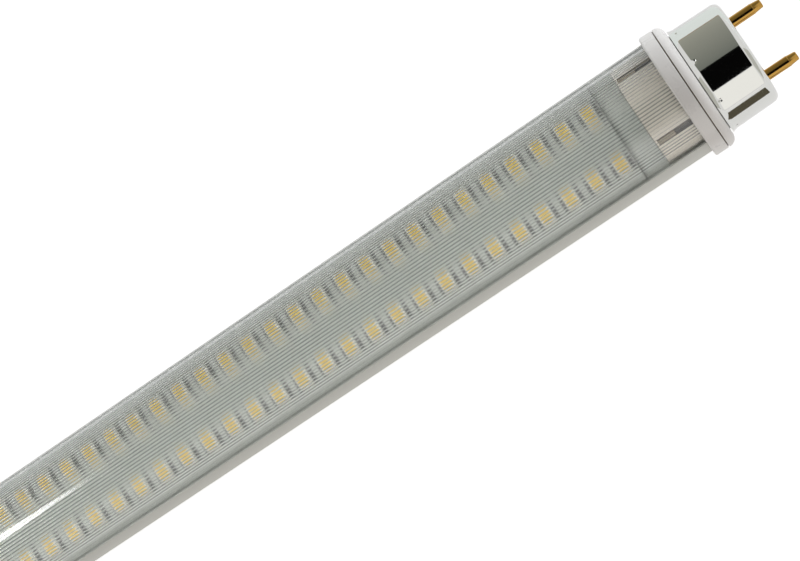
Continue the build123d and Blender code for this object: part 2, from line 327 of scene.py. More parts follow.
def ramp(tree, value, start, end, low=0.0, high=1.0):
    """A soft step from low to high while the value goes from start to end."""
    node = tree.nodes.new("ShaderNodeMapRange")
    node.interpolation_type = "SMOOTHSTEP"
    for name, number in (("From Min", start), ("From Max", end), ("To Min", low), ("To Max", high)):
        node.inputs[name].default_value = number
    tree.links.new(value, node.inputs["Value"])
    return node.outputs["Result"]


def tube_place(tree):
    """Where a point is in the tube: distance from the middle, radius, and angle from straight up."""
    place = tree.nodes.new("ShaderNodeTexCoord")
    split = tree.nodes.new("ShaderNodeSeparateXYZ")
    tree.links.new(place.outputs["Object"], split.inputs[0])
    x, y, z = (split.outputs[name] for name in ("X", "Y", "Z"))
    radius = maths(tree, "SQRT", maths(tree, "MULTIPLY_ADD", y, y, maths(tree, "MULTIPLY", z, z)))
    angle = maths(tree, "ARCTAN2", maths(tree, "MULTIPLY", y, -1.0), z)
    return place, maths(tree, "ABSOLUTE", x), radius, angle


def cover_zones():
    """The cover's own effect: painted shade lines between the ribs, strongest round one angle near the top,
    and smooth frosted edges beside them.
    """
    tree = bpy.data.node_groups.new("cover_zones", "ShaderNodeTree")
    for name, kind in (("Colour", "NodeSocketColor"), ("Roughness", "NodeSocketFloat")):
        tree.interface.new_socket(name=name, in_out="OUTPUT", socket_type=kind)
    result = tree.nodes.new("NodeGroupOutput").inputs
    place, _, radius, angle = tube_place(tree)
    spare_ribs = 3
    from_edge = maths(tree, "ADD", angle, (rib_count / 2 + spare_ribs) * rib_pitch)
    share = maths(tree, "FRACT", maths(tree, "DIVIDE", from_edge, rib_pitch))
    from_middle = maths(tree, "ABSOLUTE", maths(tree, "SUBTRACT", share, 0.5))
    # painted shade: dark lines in the ribs' valleys on the cover's inner surface, fading away from one angle
    # near the top
    valley = ramp(tree, from_middle, valley_start, valley_end)
    aside = maths(tree, "ABSOLUTE", maths(tree, "SUBTRACT", angle, shade_line_middle))
    facing = ramp(tree, aside, shade_line_full, shade_line_reach, 1.0, shade_line_left)
    inside = maths(tree, "LESS_THAN", radius, tube_radius - cover_wall / 2)
    line = maths(tree, "MULTIPLY", maths(tree, "MULTIPLY", valley, facing), inside)
    feed(tree, result["Colour"], blend(tree, line, cover_colour, rib_shade_colour))
    haze = tree.nodes.new("ShaderNodeTexNoise")
    haze.inputs["Scale"].default_value = 300.0
    feed(tree, haze.inputs["Vector"], place.outputs["Object"])
    soft = ramp(tree, haze.outputs["Fac"], 0.2, 0.8, *cover_haze)
    frost = ramp(tree, maths(tree, "ABSOLUTE", angle), frost_start, frost_end, 0.0, frost_haze)
    within = maths(tree, "MULTIPLY", inside, inside_haze)
    feed(tree, result["Roughness"], maths(tree, "ADD", maths(tree, "ADD", soft, frost), within))
    return tree


COVER_ZONES = cover_zones()


def mark(material, colour, x_from=0.0, x_to=pin_tip, radius_below=pin_tip, angle_below=pi):
    """Another colour within two distances from the tube's middle, a radius and an angle from straight up."""
    tree = material.node_tree
    shader = next(node for node in tree.nodes if node.type == "BSDF_PRINCIPLED")
    _, x, radius, angle = tube_place(tree)
    tests = [maths(tree, "LESS_THAN", x, x_to), maths(tree, "LESS_THAN", radius, radius_below)]
    if angle_below < pi:
        tests.append(maths(tree, "LESS_THAN", maths(tree, "ABSOLUTE", angle), angle_below))
    inside = maths(tree, "GREATER_THAN", x, x_from)
    for test in tests:
        inside = maths(tree, "MULTIPLY", inside, test)
    base = shader.inputs["Base Color"]
    feed(tree, base, blend(tree, inside, base.links[0].from_socket, linear(colour)))
    return material


def clear_plastic():
    """Clear polycarbonate that lets light in without a dark shadow."""
    material, tree, shader, output = fresh_material("clear_polycarbonate")
    shader.inputs["IOR"].default_value = 1.585
    shader.inputs["Transmission Weight"].default_value = 1.0
    zones = tree.nodes.new("ShaderNodeGroup")
    zones.node_tree = COVER_ZONES
    # painted shade: the cover's colour carries the dark lines between the ribs
    feed(tree, shader.inputs["Base Color"], zones.outputs["Colour"])
    feed(tree, shader.inputs["Roughness"], zones.outputs["Roughness"])
    path = tree.nodes.new("ShaderNodeLightPath")
    through = tree.nodes.new("ShaderNodeBsdfTransparent")
    through.inputs["Color"].default_value = (0.7, 0.7, 0.69, 1.0)
    mix = tree.nodes.new("ShaderNodeMixShader")
    tree.links.new(path.outputs["Is Shadow Ray"], mix.inputs["Fac"])
    tree.links.new(shader.outputs["BSDF"], mix.inputs[1])
    tree.links.new(through.outputs["BSDF"], mix.inputs[2])
    tree.links.new(mix.outputs["Shader"], output.inputs["Surface"])
    return material


def make_piece(name, mesh, material, replaced=()):
    """A finished piece of the tube on its one body."""
    piece = add_object(name, mesh)
    mesh.materials.clear()
    mesh.materials.append(material)
    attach(piece, "root")
    if replaced:
        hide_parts(*replaced)
    return piece


def smooth_mesh(mesh, sharp_angle=radians(30)):
    """Smooth faces with crisp edges past an angle."""
    mesh.polygons.foreach_set("use_smooth", [True] * len(mesh.polygons))
    mesh.set_sharp_from_angle(angle=sharp_angle)
    mesh.update()
    return mesh


def rounded(corners, closed=True, step=radians(12)):
    """An outline whose corners, each given as (x, y, radius), are rounded by arcs."""
    points = []
    count = len(corners)
    for index, (x, y, radius) in enumerate(corners):
        here = Vector((x, y))
        if radius <= 0 or (not closed and index in (0, count - 1)):
            points.append(here)
            continue
        before = (Vector(corners[index - 1][:2]) - here).normalized()
        after = (Vector(corners[(index + 1) % count][:2]) - here).normalized()
        half = before.angle(after) / 2
        centre = here + (before + after).normalized() * radius / sin(half)
        start = here + before * radius / tan(half) - centre
        end = here + after * radius / tan(half) - centre
        sweep = atan2(start.x * end.y - start.y * end.x, start.dot(end))
        parts = max(2, int(abs(sweep) / step) + 1)
        for part in range(parts + 1):
            turn = Matrix.Rotation(sweep * part / parts, 2)
            points.append(centre + turn @ start)
    return points


def at_angle(radius, angle):
    """A point of the section, as (y, z), at an angle from straight up."""
    return Vector((radius * sin(angle), radius * cos(angle)))


def arc(radius, start, end, parts):
    """Points of the section along an arc round the tube's axis."""
    return [at_angle(radius, start + (end - start) * part / parts) for part in range(parts + 1)]


def mesh_of(build, name):
    """The mesh in work as a plain mesh."""
    mesh = bpy.data.meshes.new(name)
    build.to_mesh(mesh)
    build.free()
    return mesh


def closed_mesh(build, name):
    """The mesh in work as a plain mesh whose faces point outwards."""
    bmesh.ops.recalc_face_normals(build, faces=build.faces)
    return mesh_of(build, name)


def wall_between(build, first, last):
    """A closed band of faces between two loops of as many vertices."""
    count = len(first)
    for index in range(count):
        after = (index + 1) % count
        build.faces.new((first[index], first[after], last[after], last[index]))


def stack(build, loops):
    """A closed solid through a stack of loops of as many vertices."""
    for first, last in zip(loops, loops[1:]):
        wall_between(build, first, last)
    build.faces.new(list(reversed(loops[0])))
    build.faces.new(loops[-1])


def prism(outline, start, end):
    """A closed outline of (y, z) points made solid between two places along the tube."""
    build = bmesh.new()
    stack(build, [[build.verts.new((x, p.x, p.y)) for p in outline] for x in (start, end)])
    return closed_mesh(build, "prism")


def lathe_into(build, outline, segments, y=0.0, dent=None, open_at=None):
    """Adds a closed outline of (x, radius) points, turned about a line along the tube, to a mesh in work.

    The strip that follows the point numbered open_at is left out. Returns the rings of vertices.
    """
    rings = []
    for point in outline:
        if point.y == 0.0:
            rings.append([build.verts.new((point.x, y, 0.0))])
            continue
        ring = []
        for segment in range(segments):
            angle = 2 * pi * segment / segments
            radius = point.y - (dent(point, angle) if dent else 0.0)
            ring.append(build.verts.new((point.x, y - radius * sin(angle), radius * cos(angle))))
        rings.append(ring)
    count = len(rings)
    for index in range(count):
        a = rings[index]
        b = rings[(index + 1) % count]
        if index == open_at or (len(a) == 1 and len(b) == 1):
            continue
        for segment in range(segments):
            after = (segment + 1) % segments
            corners = [a[segment % len(a)], a[after % len(a)], b[after % len(b)], b[segment % len(b)]]
            build.faces.new(list(dict.fromkeys(corners)))
    return rings


def fill_between(build, loops):
    """Fills the flat face between closed loops of vertices."""
    edges = []
    for ring in loops:
        for index in range(len(ring)):
            corner_pair = (ring[index], ring[(index + 1) % len(ring)])
            edges.append(build.edges.get(corner_pair) or build.edges.new(corner_pair))
    bmesh.ops.triangle_fill(build, use_beauty=True, use_dissolve=False, edges=edges)


def both_ends(build):
    """The work of the +X end and its mirror image as one mesh."""
    bmesh.ops.recalc_face_normals(build, faces=build.faces)
    copied = bmesh.ops.duplicate(build, geom=build.verts[:] + build.edges[:] + build.faces[:])["geom"]
    for item in copied:
        if isinstance(item, bmesh.types.BMVert):
            item.co.x = -item.co.x
    bmesh.ops.reverse_faces(build, faces=[item for item in copied if isinstance(item, bmesh.types.BMFace)])
    return mesh_of(build, "both_ends")


def fin_groove(middle):
    """One groove between two fins, with the halves of the fins beside it. Shares are of half a gap."""
    half = asin(fin_gap / 2 / tube_radius)
    edge = tube_radius - fin_edge
    floor = tube_radius - fin_depth
    land_start = fin_pitch / 2 - half * fin_land_start
    land_end = half * fin_land_end
    points = arc(tube_radius, middle - land_start, middle - land_end, 3)
    points += [at_angle(radius, middle - half) for radius in (edge, floor + fin_root)]
    points += [at_angle(floor, middle + side * half * fin_floor_share) for side in (-1, 1)]
    points += [at_angle(radius, middle + half) for radius in (floor + fin_root, edge)]
    return points + arc(tube_radius, middle + land_end, middle + land_start, 3)


def board_pocket():
    """Half the width of the pocket that holds the board, and the level of its lips."""
    seat = board_top + toe_play
    return sqrt((tube_radius - side_wall) ** 2 - seat**2), seat


def housing_outline():
    """The section of the aluminium extrusion, once round."""
    lip_inner = tube_radius - lip_wall
    pocket, seat = board_pocket()
    smooth_end = pi - fin_field_half_angle - fin_pitch / 2
    outer = arc(tube_radius, window_half_angle, smooth_end, 24)
    grooves = int(fin_field_half_angle / fin_pitch)
    for step in range(-grooves, grooves + 1):
        outer += fin_groove(pi + step * fin_pitch)
    outer += arc(tube_radius, 2 * pi - smooth_end, 2 * pi - window_half_angle, 24)
    lip_angle = acos(seat / lip_inner)
    inner = arc(lip_inner, -window_half_angle, -lip_angle, 4)
    inner += [Vector((-pocket, seat)), Vector((-pocket, shelf_top))]
    inner += [Vector((pocket, shelf_top)), Vector((pocket, seat))]
    return outer + inner + arc(lip_inner, lip_angle, window_half_angle, 4)


def cavity_outline():
    """The hollow behind the shelf."""
    radius = tube_radius - cavity_wall
    top = shelf_top - shelf_wall
    edge = acos(top / radius)
    return arc(radius, edge, 2 * pi - edge, 40)


def housing_mesh():
    """The extrusion with its hollow: outer and inner walls with a ring face at each end."""
    build = bmesh.new()
    pairs = []
    for outline in (housing_outline(), cavity_outline()):
        pair = [[build.verts.new((x, p.x, p.y)) for p in outline] for x in (-tube_end, tube_end)]
        wall_between(build, *pair)
        pairs.append(pair)
    for end in (0, 1):
        fill_between(build, [pair[end] for pair in pairs])
    return smooth_mesh(closed_mesh(build, "heat_sink"))


def cover_mesh():
    """The clear cover with smooth lens ribs inside and feet behind the housing's lips."""
    valley = tube_radius - cover_wall
    foot = tube_radius - lip_wall - foot_play
    pocket, seat = board_pocket()
    toe = pocket - toe_reach
    toe_top = seat + toe_height
    edge = window_half_angle + cover_in_lip / tube_radius
    start = acos(toe_top / valley)
    rib_edge = rib_count * rib_pitch / 2
    right = arc(foot, edge, acos(seat / foot), 4)
    right += [Vector((toe, seat)), Vector((toe, toe_top))]
    right += arc(valley, start, rib_edge, 12)[:-1]
    ribs = []
    base = sqrt(1 - 1 / rib_roundness**2)
    for rib in range(rib_count):
        for facet in range(rib_facets):
            across = -cos(pi * facet / rib_facets)
            depth = rib_depth * (sqrt(1 - (across / rib_roundness) ** 2) - base) / (1 - base)
            angle = rib_edge - (rib + (1 + across) / 2) * rib_pitch
            ribs.append(at_angle(valley - depth, angle))
    ribs.append(at_angle(valley, -rib_edge))
    left = [Vector((-p.x, p.y)) for p in reversed(right)]
    outer = arc(tube_radius, -edge, edge, 90)
    return smooth_mesh(prism(right + ribs + left + outer, -tube_end, tube_end), radians(25))


def sleeve_mesh():
    """The plugs' slotted sleeves under the cover's ends: an arch with straight legs down to the shelf."""
    build = bmesh.new()
    outer = sleeve_radius
    inner = outer - sleeve_wall
    start = tube_end - sleeve_reach
    slot_start = start + slot_end_land
    half_slot = slot_width / 2 / outer
    marks = [0.0]
    for side in (-1, 1):
        marks += [side * slot_angle - half_slot, side * slot_angle + half_slot]
    angles = [sleeve_half_angle * (2 * k / sleeve_columns - 1) for k in range(sleeve_columns + 1)]
    angles = sorted(set(angles + marks))
    closest = radians(0.3)
    angles = [a for k, a in enumerate(angles) if k == 0 or a - angles[k - 1] > closest or a in marks]
    stations = [(at_angle(outer, a), at_angle(inner, a), a) for a in angles]
    foot = shelf_top + sleeve_play
    leg = outer * sin(sleeve_half_angle)
    no_slot = 9.0
    left_leg = (Vector((-leg, foot)), Vector((-leg + sleeve_wall, foot)), -no_slot)
    right_leg = (Vector((leg, foot)), Vector((leg - sleeve_wall, foot)), no_slot)
    stations = [left_leg] + stations + [right_leg]
    places = [start, slot_start, (slot_start + tube_end) / 2, tube_end]
    grid = [[[build.verts.new((x, p.x, p.y)) for x in places] for p in station[:2]] for station in stations]

    def is_slot(column, row):
        """Whether a cell of the arch lies in a slot."""
        middle = (stations[column][2] + stations[column + 1][2]) / 2
        return row > 0 and any(abs(middle - side * slot_angle) < half_slot for side in (-1, 1))

    def slot_floor(depth, first, last, span):
        """The part of a slot's floor in one cell, with a gap beside the slot's walls."""
        middle = slot_angle if first > 0 else -slot_angle
        narrow = half_slot - slot_gap / outer
        first = max(first, middle - narrow)
        last = min(last, middle + narrow)
        if last <= first:
            return
        corners = []
        level = outer - depth
        for x in span:
            for radius, angle in ((level, first), (level, last), (inner, last), (inner, first)):
                corners.append(build.verts.new((x, *at_angle(radius, angle))))
        for loop in ((0, 1, 2, 3), (7, 6, 5, 4), (0, 4, 5, 1), (1, 5, 6, 2), (2, 6, 7, 3), (3, 7, 4, 0)):
            build.faces.new([corners[k] for k in loop])

    columns = len(stations) - 1
    rows = len(places) - 1
    for column in range(columns):
        for row in range(rows):
            if is_slot(column, row):
                first, last = stations[column][2], stations[column + 1][2]
                slot_floor(slot_depths[row - 1], first, last, places[row:row + 2])
                continue
            a, b = grid[column], grid[column + 1]
            build.faces.new((a[0][row], a[0][row + 1], b[0][row + 1], b[0][row]))
            build.faces.new((a[1][row], b[1][row], b[1][row + 1], a[1][row + 1]))
            if column == 0 or is_slot(column - 1, row):
                build.faces.new((a[0][row], a[1][row], a[1][row + 1], a[0][row + 1]))
            if column == columns - 1 or is_slot(column + 1, row):
                build.faces.new((b[0][row], b[0][row + 1], b[1][row + 1], b[1][row]))
            if row == 0:
                build.faces.new((a[0][row], b[0][row], b[1][row], a[1][row]))
            if row == rows - 1 or is_slot(column, row + 1):
                build.faces.new((a[0][row + 1], a[1][row + 1], b[1][row + 1], b[0][row + 1]))
    return smooth_mesh(both_ends(build))


def plug_mesh():
    """The plug at each end: its collar with rounded edges and the spigot behind the ring."""
    build = bmesh.new()
    back = tube_end + collar_width
    lathe_into(build, rounded([
        (tube_end, plug_bore, 0),
        (tube_end, collar_radius, collar_edge),
        (back - seam_gap, collar_radius, collar_seam_edge),
        (back - seam_gap, collar_radius - seam_depth, 0),
        (back + seam_gap, collar_radius - seam_depth, 0),
        (back + seam_gap, spigot_radius, 0),
        (pin_root, spigot_radius, 0),
        (pin_root, plug_bore, 0),
    ]), turned_sides)
    return smooth_mesh(both_ends(build))


def ring_mesh():
    """The white ring at each end, with its broad rounded front edge."""
    build = bmesh.new()
    back = ring_front - ring_width + seam_gap
    lathe_into(build, rounded([
        (back, ring_bore, 0),
        (back, collar_radius, ring_seam_edge),
        (ring_front, collar_radius, ring_front_edge),
        (ring_front, ring_bore, 0),
    ]), turned_sides)
    return smooth_mesh(both_ends(build))


def island_loop(build, x):
    """The long rounded opening round both pins, as a loop of vertices across the tube's end."""
    loop = []
    for side in (1, -1):
        for part in range(island_steps + 1):
            turn = side * (pi / 2 - pi * part / island_steps)
            y = side * pin_spacing / 2 + island_half_width * cos(turn) * side
            loop.append(build.verts.new((x, y, island_half_width * sin(turn) * side)))
    return loop


def shell_outline():
    """The drawn shell's section: flared lip, tapered body, rounded end corner and the inner wall."""
    flare_radius = (flare_length**2 + flare_height**2) / (2 * flare_height)
    flare_sweep = asin(flare_length / flare_radius)
    flare_end = shell_lip + lip_gap + flare_length
    outline = []
    for part in range(flare_steps + 1):
        angle = flare_sweep * (1 - part / flare_steps)
        outline.append(Vector((
            flare_end - flare_radius * sin(angle),
            shell_lip_radius + flare_radius * (1 - cos(angle)),
        )))
    for station in shell_stations:
        share = station * MM / (cap_face - flare_end)
        radius = shell_lip_radius + (shell_end_radius - shell_lip_radius) * share
        outline.append(Vector((flare_end + station * MM, radius)))
    return outline + rounded([
        (outline[-1].x, outline[-1].y, 0),
        (cap_face, shell_end_radius, shell_edge),
        (cap_face, end_disc_radius, 0),
        (cap_face - shell_wall, end_disc_radius, 0),
        (cap_face - shell_wall, shell_end_radius - shell_wall, shell_inner_edge),
        (shell_lip + lip_gap, shell_lip_radius - shell_wall, 0),
    ], closed=False)[1:]


def crimp(point, angle):
    """How deep the crimp dents round the shell's lip are at a point."""
    if point.y < shell_end_radius or point.x > shell_lip + crimp_band:
        return 0.0
    step = 2 * pi / crimp_count
    around = (angle - crimp_phase + step / 2) % step - step / 2
    distance = hypot(around * shell_lip_radius, point.x - shell_lip - crimp_inset)
    share = min(1.0, distance / crimp_radius)
    return crimp_depth * (1 - share**2) ** 2


def shell_mesh():
    """The chrome shell at each end, with the long opening for the pins' island."""
    build = bmesh.new()
    outline = shell_outline()
    opening = next(k for k, point in enumerate(outline) if abs(point.y - end_disc_radius) < 0.001 * MM)
    rings = lathe_into(build, outline, shell_sides, dent=crimp, open_at=opening)
    front = island_loop(build, cap_face)
    back = island_loop(build, cap_face - shell_wall)
    fill_between(build, [rings[opening], front])
    fill_between(build, [rings[opening + 1], back])
    wall_between(build, front, back)
    return smooth_mesh(both_ends(build), radians(40))


def pin_mesh(side):
    """A brass pin at each end, seen from its shoulder to its tapered nose."""
    build = bmesh.new()
    lathe_into(build, rounded([
        (pin_root, 0.0, 0),
        (pin_root, pin_radius, 0),
        (pin_tip - pin_nose - nose_edge, pin_radius, 0),
        (pin_tip - pin_nose, pin_radius - nose_edge, 0),
        (pin_tip, pin_tip_radius - nose_edge, pin_tip_edge),
        (pin_tip, 0.0, 0),
    ], closed=False), pin_sides, y=side * pin_spacing / 2)
    return smooth_mesh(closed_mesh(build, "pin"))


def repeat_tree():
    """Geometry Nodes: copies of the object's own mesh in a row along the board."""
    tree = bpy.data.node_groups.new("row_of_copies", "GeometryNodeTree")
    face = tree.interface
    face.new_socket(name="Geometry", in_out="INPUT", socket_type="NodeSocketGeometry")
    for name, kind, value in (
        ("Count", "NodeSocketInt", 10),
        ("Pitch", "NodeSocketFloat", 0.006),
        ("Row Offset", "NodeSocketFloat", 0.0),
        ("Height", "NodeSocketFloat", 0.0),
    ):
        face.new_socket(name=name, in_out="INPUT", socket_type=kind).default_value = value
    face.new_socket(name="Finish", in_out="INPUT", socket_type="NodeSocketMaterial")
    face.new_socket(name="Geometry", in_out="OUTPUT", socket_type="NodeSocketGeometry")
    given = tree.nodes.new("NodeGroupInput").outputs
    result = tree.nodes.new("NodeGroupOutput").inputs
    length = maths(tree, "MULTIPLY", maths(tree, "SUBTRACT", given["Count"], 1.0), given["Pitch"])
    start = tree.nodes.new("ShaderNodeCombineXYZ")
    feed(tree, start.inputs["X"], maths(tree, "MULTIPLY", length, -0.5))
    feed(tree, start.inputs["Y"], given["Row Offset"])
    feed(tree, start.inputs["Z"], given["Height"])
    step = tree.nodes.new("ShaderNodeCombineXYZ")
    feed(tree, step.inputs["X"], given["Pitch"])
    line = tree.nodes.new("GeometryNodeMeshLine")
    line.mode = "OFFSET"
    feed(tree, line.inputs["Count"], given["Count"])
    feed(tree, line.inputs["Start Location"], start.outputs["Vector"])
    feed(tree, line.inputs["Offset"], step.outputs["Vector"])
    copies = tree.nodes.new("GeometryNodeInstanceOnPoints")
    feed(tree, copies.inputs["Points"], line.outputs["Mesh"])
    feed(tree, copies.inputs["Instance"], given["Geometry"])
    real = tree.nodes.new("GeometryNodeRealizeInstances")
    feed(tree, real.inputs["Geometry"], copies.outputs["Instances"])
    dress = tree.nodes.new("GeometryNodeSetMaterial")
    feed(tree, dress.inputs["Geometry"], real.outputs["Geometry"])
    feed(tree, dress.inputs["Material"], given["Finish"])
    feed(tree, result["Geometry"], dress.outputs["Geometry"])
    return tree


ROW = repeat_tree()


def row_mesh(single, offset, height, material):
    """The mesh of a whole row of copies of a small mesh."""
    seed = add_object("seed", single)
    modifier = seed.modifiers.new("row", "NODES")
    modifier.node_group = ROW
    values = {
        "Count": led_count,
        "Pitch": led_pitch,
        "Row Offset": offset,
        "Height": height,
        "Finish": material,
    }
    for item in ROW.interface.items_tree:
        if item.in_out == "INPUT" and item.name in values:
            modifier[item.identifier] = values[item.name]
    seen = seed.evaluated_get(bpy.context.evaluated_depsgraph_get())
    mesh = bpy.data.meshes.new_from_object(seen)
    seed.modifiers.remove(modifier)
    bpy.data.objects.remove(seed)
    return mesh


def window_point(share, angle, height):
    """A point round the LED's window, a circle drawn out towards its corners."""
    power = window_squareness
    reach = share * window_radius * (abs(cos(angle)) ** power + abs(sin(angle)) ** power) ** (-1 / power)
    return reach * cos(angle), reach * sin(angle), height


def led_package_mesh():
    """One white LED package with its rounded square cup, standing on the board."""
    build = bmesh.new()
    height = led_top - board_top
    half_length = led_length / 2
    half_width = led_width / 2

    def body_loop(inset, level):
        """The package's outline at a level, drawn in by an inset."""
        loop = []
        for angle in led_angles:
            reach = min(half_length / abs(cos(angle)), half_width / abs(sin(angle)))
            x = reach * cos(angle) * (half_length - inset) / half_length
            y = reach * sin(angle) * (half_width - inset) / half_width
            loop.append(build.verts.new((x, y, level)))
        return loop

    loops = [
        body_loop(0.0, 0.0),
        body_loop(0.0, height * led_waist),
        body_loop(led_lean, height - led_edge),
        body_loop(led_lean + led_edge, height),
    ]
    for share, level in ((1.0, height), (cup_floor_share, height - cup_depth)):
        loops.append([build.verts.new(window_point(share, angle, level)) for angle in led_angles])
    stack(build, loops)
    return closed_mesh(build, "led_package")


def phosphor_mesh():
    """One yellow silicone fill in the cup, slightly domed. Its levels are in mm from the package's top."""
    build = bmesh.new()
    height = led_top - board_top
    loops = []
    for share, level in ((0.86, -0.34), (0.99, -0.02), (0.8, 0.0), (0.45, 0.03)):
        loops.append([build.verts.new(window_point(share, a, height + level * MM)) for a in led_angles])
    stack(build, loops)
    return closed_mesh(build, "phosphor")


def solder_mesh():
    """The two solder fillets of one LED, as low wedges at the package's ends."""
    build = bmesh.new()
    inner = led_length / 2
    foot = inner + terminal_reach
    outer = foot + solder_reach
    section = [
        (inner, 0.0),
        (outer, 0.0),
        (outer, 0.06 * MM),
        (foot + 0.12 * MM, 0.09 * MM),
        (foot, 0.3 * MM),
        (foot, terminal_height),
        (inner, terminal_height),
    ]
    for side in (-1, 1):
        ends = (-solder_half_width, solder_half_width)
        stack(build, [[build.verts.new((side * x, y, z)) for x, z in section] for y in ends])
    return closed_mesh(build, "solder")


def sleeve_finish():
    """The white of the sleeves, with a shaded end edge and shaded slots."""
    material = finish_material("cap_white_inner", (230, 223, 210), 0.4, 0.03, 0.06, 400.0)
    # painted shade: a darker band along the sleeve's inner end edge
    mark(material, (120, 116, 106), x_to=tube_end - sleeve_reach + sleeve_end_shade)
    # painted shade: the slot floors are darkened, more so in the deeper part
    for colour, depth in zip(((150, 136, 114), (66, 56, 42)), slot_depths):
        mark(material, colour, radius_below=sleeve_radius - depth / 2, angle_below=slot_shade_angle)
    return material


def build_materials():
    """Every finish of the tube by name."""
    aluminium = finish_material("anodised_aluminium", (206, 205, 198), 0.5, 0.06, 0.12, 900.0,
                                (0.02, 1.0, 1.0), 0.05, metallic=0.45)
    board = finish_material("board_mask", (216, 220, 213), 0.45, 0.05, 0.1, 500.0)
    cap_white = finish_material("cap_white_plastic", (223, 219, 214), 0.28, 0.02, 0.06, 400.0)
    seam = tube_end + collar_width
    return {
        # painted light: faces deeper than half the lip's wall (inner lips, pocket, hollow, deep parts of the
        # fin grooves) are lighter, to lift their shade
        "aluminium": mark(aluminium, (228, 232, 225), radius_below=tube_radius - lip_wall / 2),
        "cover": clear_plastic(),
        # painted shade: a dark band along the last board_end_shade of each end of the LED board
        "board": mark(board, (120, 122, 116), board_end - board_end_shade),
        "led": finish_material("led_package_white", (246, 243, 228), 0.35, 0.03, 0.08, 2500.0),
        "phosphor": finish_material("phosphor_yellow", (246, 212, 94), 0.3, 0.08, 0.1, 3000.0),
        "solder": finish_material("solder_tin", (104, 104, 102), 0.4, 0.1, 0.15, 3000.0, metallic=0.6),
        # painted shade: the seam groove between collar and ring is coloured dark brown
        "cap_white": mark(cap_white, (104, 88, 70), seam - seam_shade_reach, seam + seam_shade_reach,
                          collar_radius - seam_depth / 3),
        "sleeve_white": sleeve_finish(),
        "chrome": finish_material("cap_chrome", (232, 232, 228), 0.06, 0.02, 0.03, 220.0, bump=0.12,
                                  bump_distance=0.05, metallic=1.0),
        "insulator": finish_material("insulator_grey", (70, 68, 66), 0.5, 0.08, 0.1, 1500.0),
        "brass": finish_material("pin_brass", (198, 154, 78), 0.12, 0.08, 0.1, 1500.0, (0.3, 1, 1),
                                 metallic=1.0),
        "green": finish_material("driver_board_green", (38, 96, 58), 0.4, 0.1),
        "black": finish_material("component_black", (28, 28, 28), 0.5, 0.1),
        "yellow": finish_material("winding_tape", (214, 170, 60), 0.5, 0.1),
        "ferrite": finish_material("ferrite_grey", (54, 54, 58), 0.7, 0.15),
        "sleeve": finish_material("capacitor_sleeve", (28, 34, 60), 0.35, 0.1),
        "resistor": finish_material("resistor_green", (92, 140, 104), 0.4, 0.1),
        "lead": finish_material("lead_red", (160, 34, 28), 0.4, 0.1),
        "film": finish_material("film_clear", (214, 214, 204), 0.3, 0.05),
    }


def dress_carried_nodes(finish):
    """Finishes for the CAD nodes that stay as they are."""
    for name, nodes in (
        ("board", ("led_board",)),
        ("insulator", ("pin_insulators",)),
        ("brass", ("pin_links", "front_output_post", "back_output_post")),
        ("film", ("driver_film",)),
        ("green", ("driver_board",)),
        ("resistor", ("fuse_resistor",)),
        ("yellow", ("noise_capacitor", "transformer_winding")),
        ("ferrite", ("input_choke", "transformer_core")),
        ("black", ("bridge_rectifier", "controller_chip", "output_diode")),
        ("sleeve", ("bulk_capacitors", "output_capacitor")),
        ("lead", ("right_mains_lead", "left_mains_lead")),
    ):
        for node in nodes:
            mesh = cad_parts[node].data
            mesh.materials.clear()
            mesh.materials.append(finish[name])


def stage_sheet(name, corners, material):
    """A flat piece of the stage."""
    mesh = bpy.data.meshes.new(name)
    mesh.from_pydata([tuple(corner) for corner in corners], [], [(0, 1, 2, 3)])
    mesh.materials.append(material)
    sheet = add_object(name, mesh)
    return sheet


def stage_card(name, corners, material):
    """A card of the studio that only reflections show."""
    card = stage_sheet(name, corners, material)
    share = card.data.attributes.new("share", "FLOAT", "POINT")
    share.data.foreach_set("value", (0.0, 0.0, 1.0, 1.0))
    card.visible_camera = False
    card.visible_diffuse = False
    card.visible_transmission = False
    card.visible_shadow = False
    return card


def inside_card(name, start, end, colour):
    """A card of the studio that only the tube's inside sees, through the clear cover."""
    card = stage_card(name, card_across(start, end, near_end=-1.2, far_end=0.9), plain_glow(name, colour))
    card.visible_glossy = False
    card.visible_transmission = True


def graded_glow(name, start, end):
    """A card material whose colour goes evenly from its first edge to its far edge."""
    material = plain_glow(name, start)
    tree = material.node_tree
    glow = next(node for node in tree.nodes if node.type == "EMISSION")
    share = tree.nodes.new("ShaderNodeAttribute")
    share.attribute_name = "share"
    feed(tree, glow.inputs["Color"], blend(tree, share.outputs["Fac"], start, end))
    return material


def plain_glow(name, colour):
    """A card material that glows evenly."""
    material = bpy.data.materials.new(name)
    tree = emptied_tree(material)
    output = tree.nodes.new("ShaderNodeOutputMaterial")
    glow = tree.nodes.new("ShaderNodeEmission")
    glow.inputs["Color"].default_value = colour
    tree.links.new(glow.outputs["Emission"], output.inputs["Surface"])
    return material


def level_by_ray(tree, share, low, high):
    """A strength that is high for the rays of a share, and low for all others."""
    level = tree.nodes.new("ShaderNodeMapRange")
    for name, value in (("Value", share), ("To Min", low), ("To Max", high)):
        feed(tree, level.inputs[name], value)
    return level.outputs["Result"]


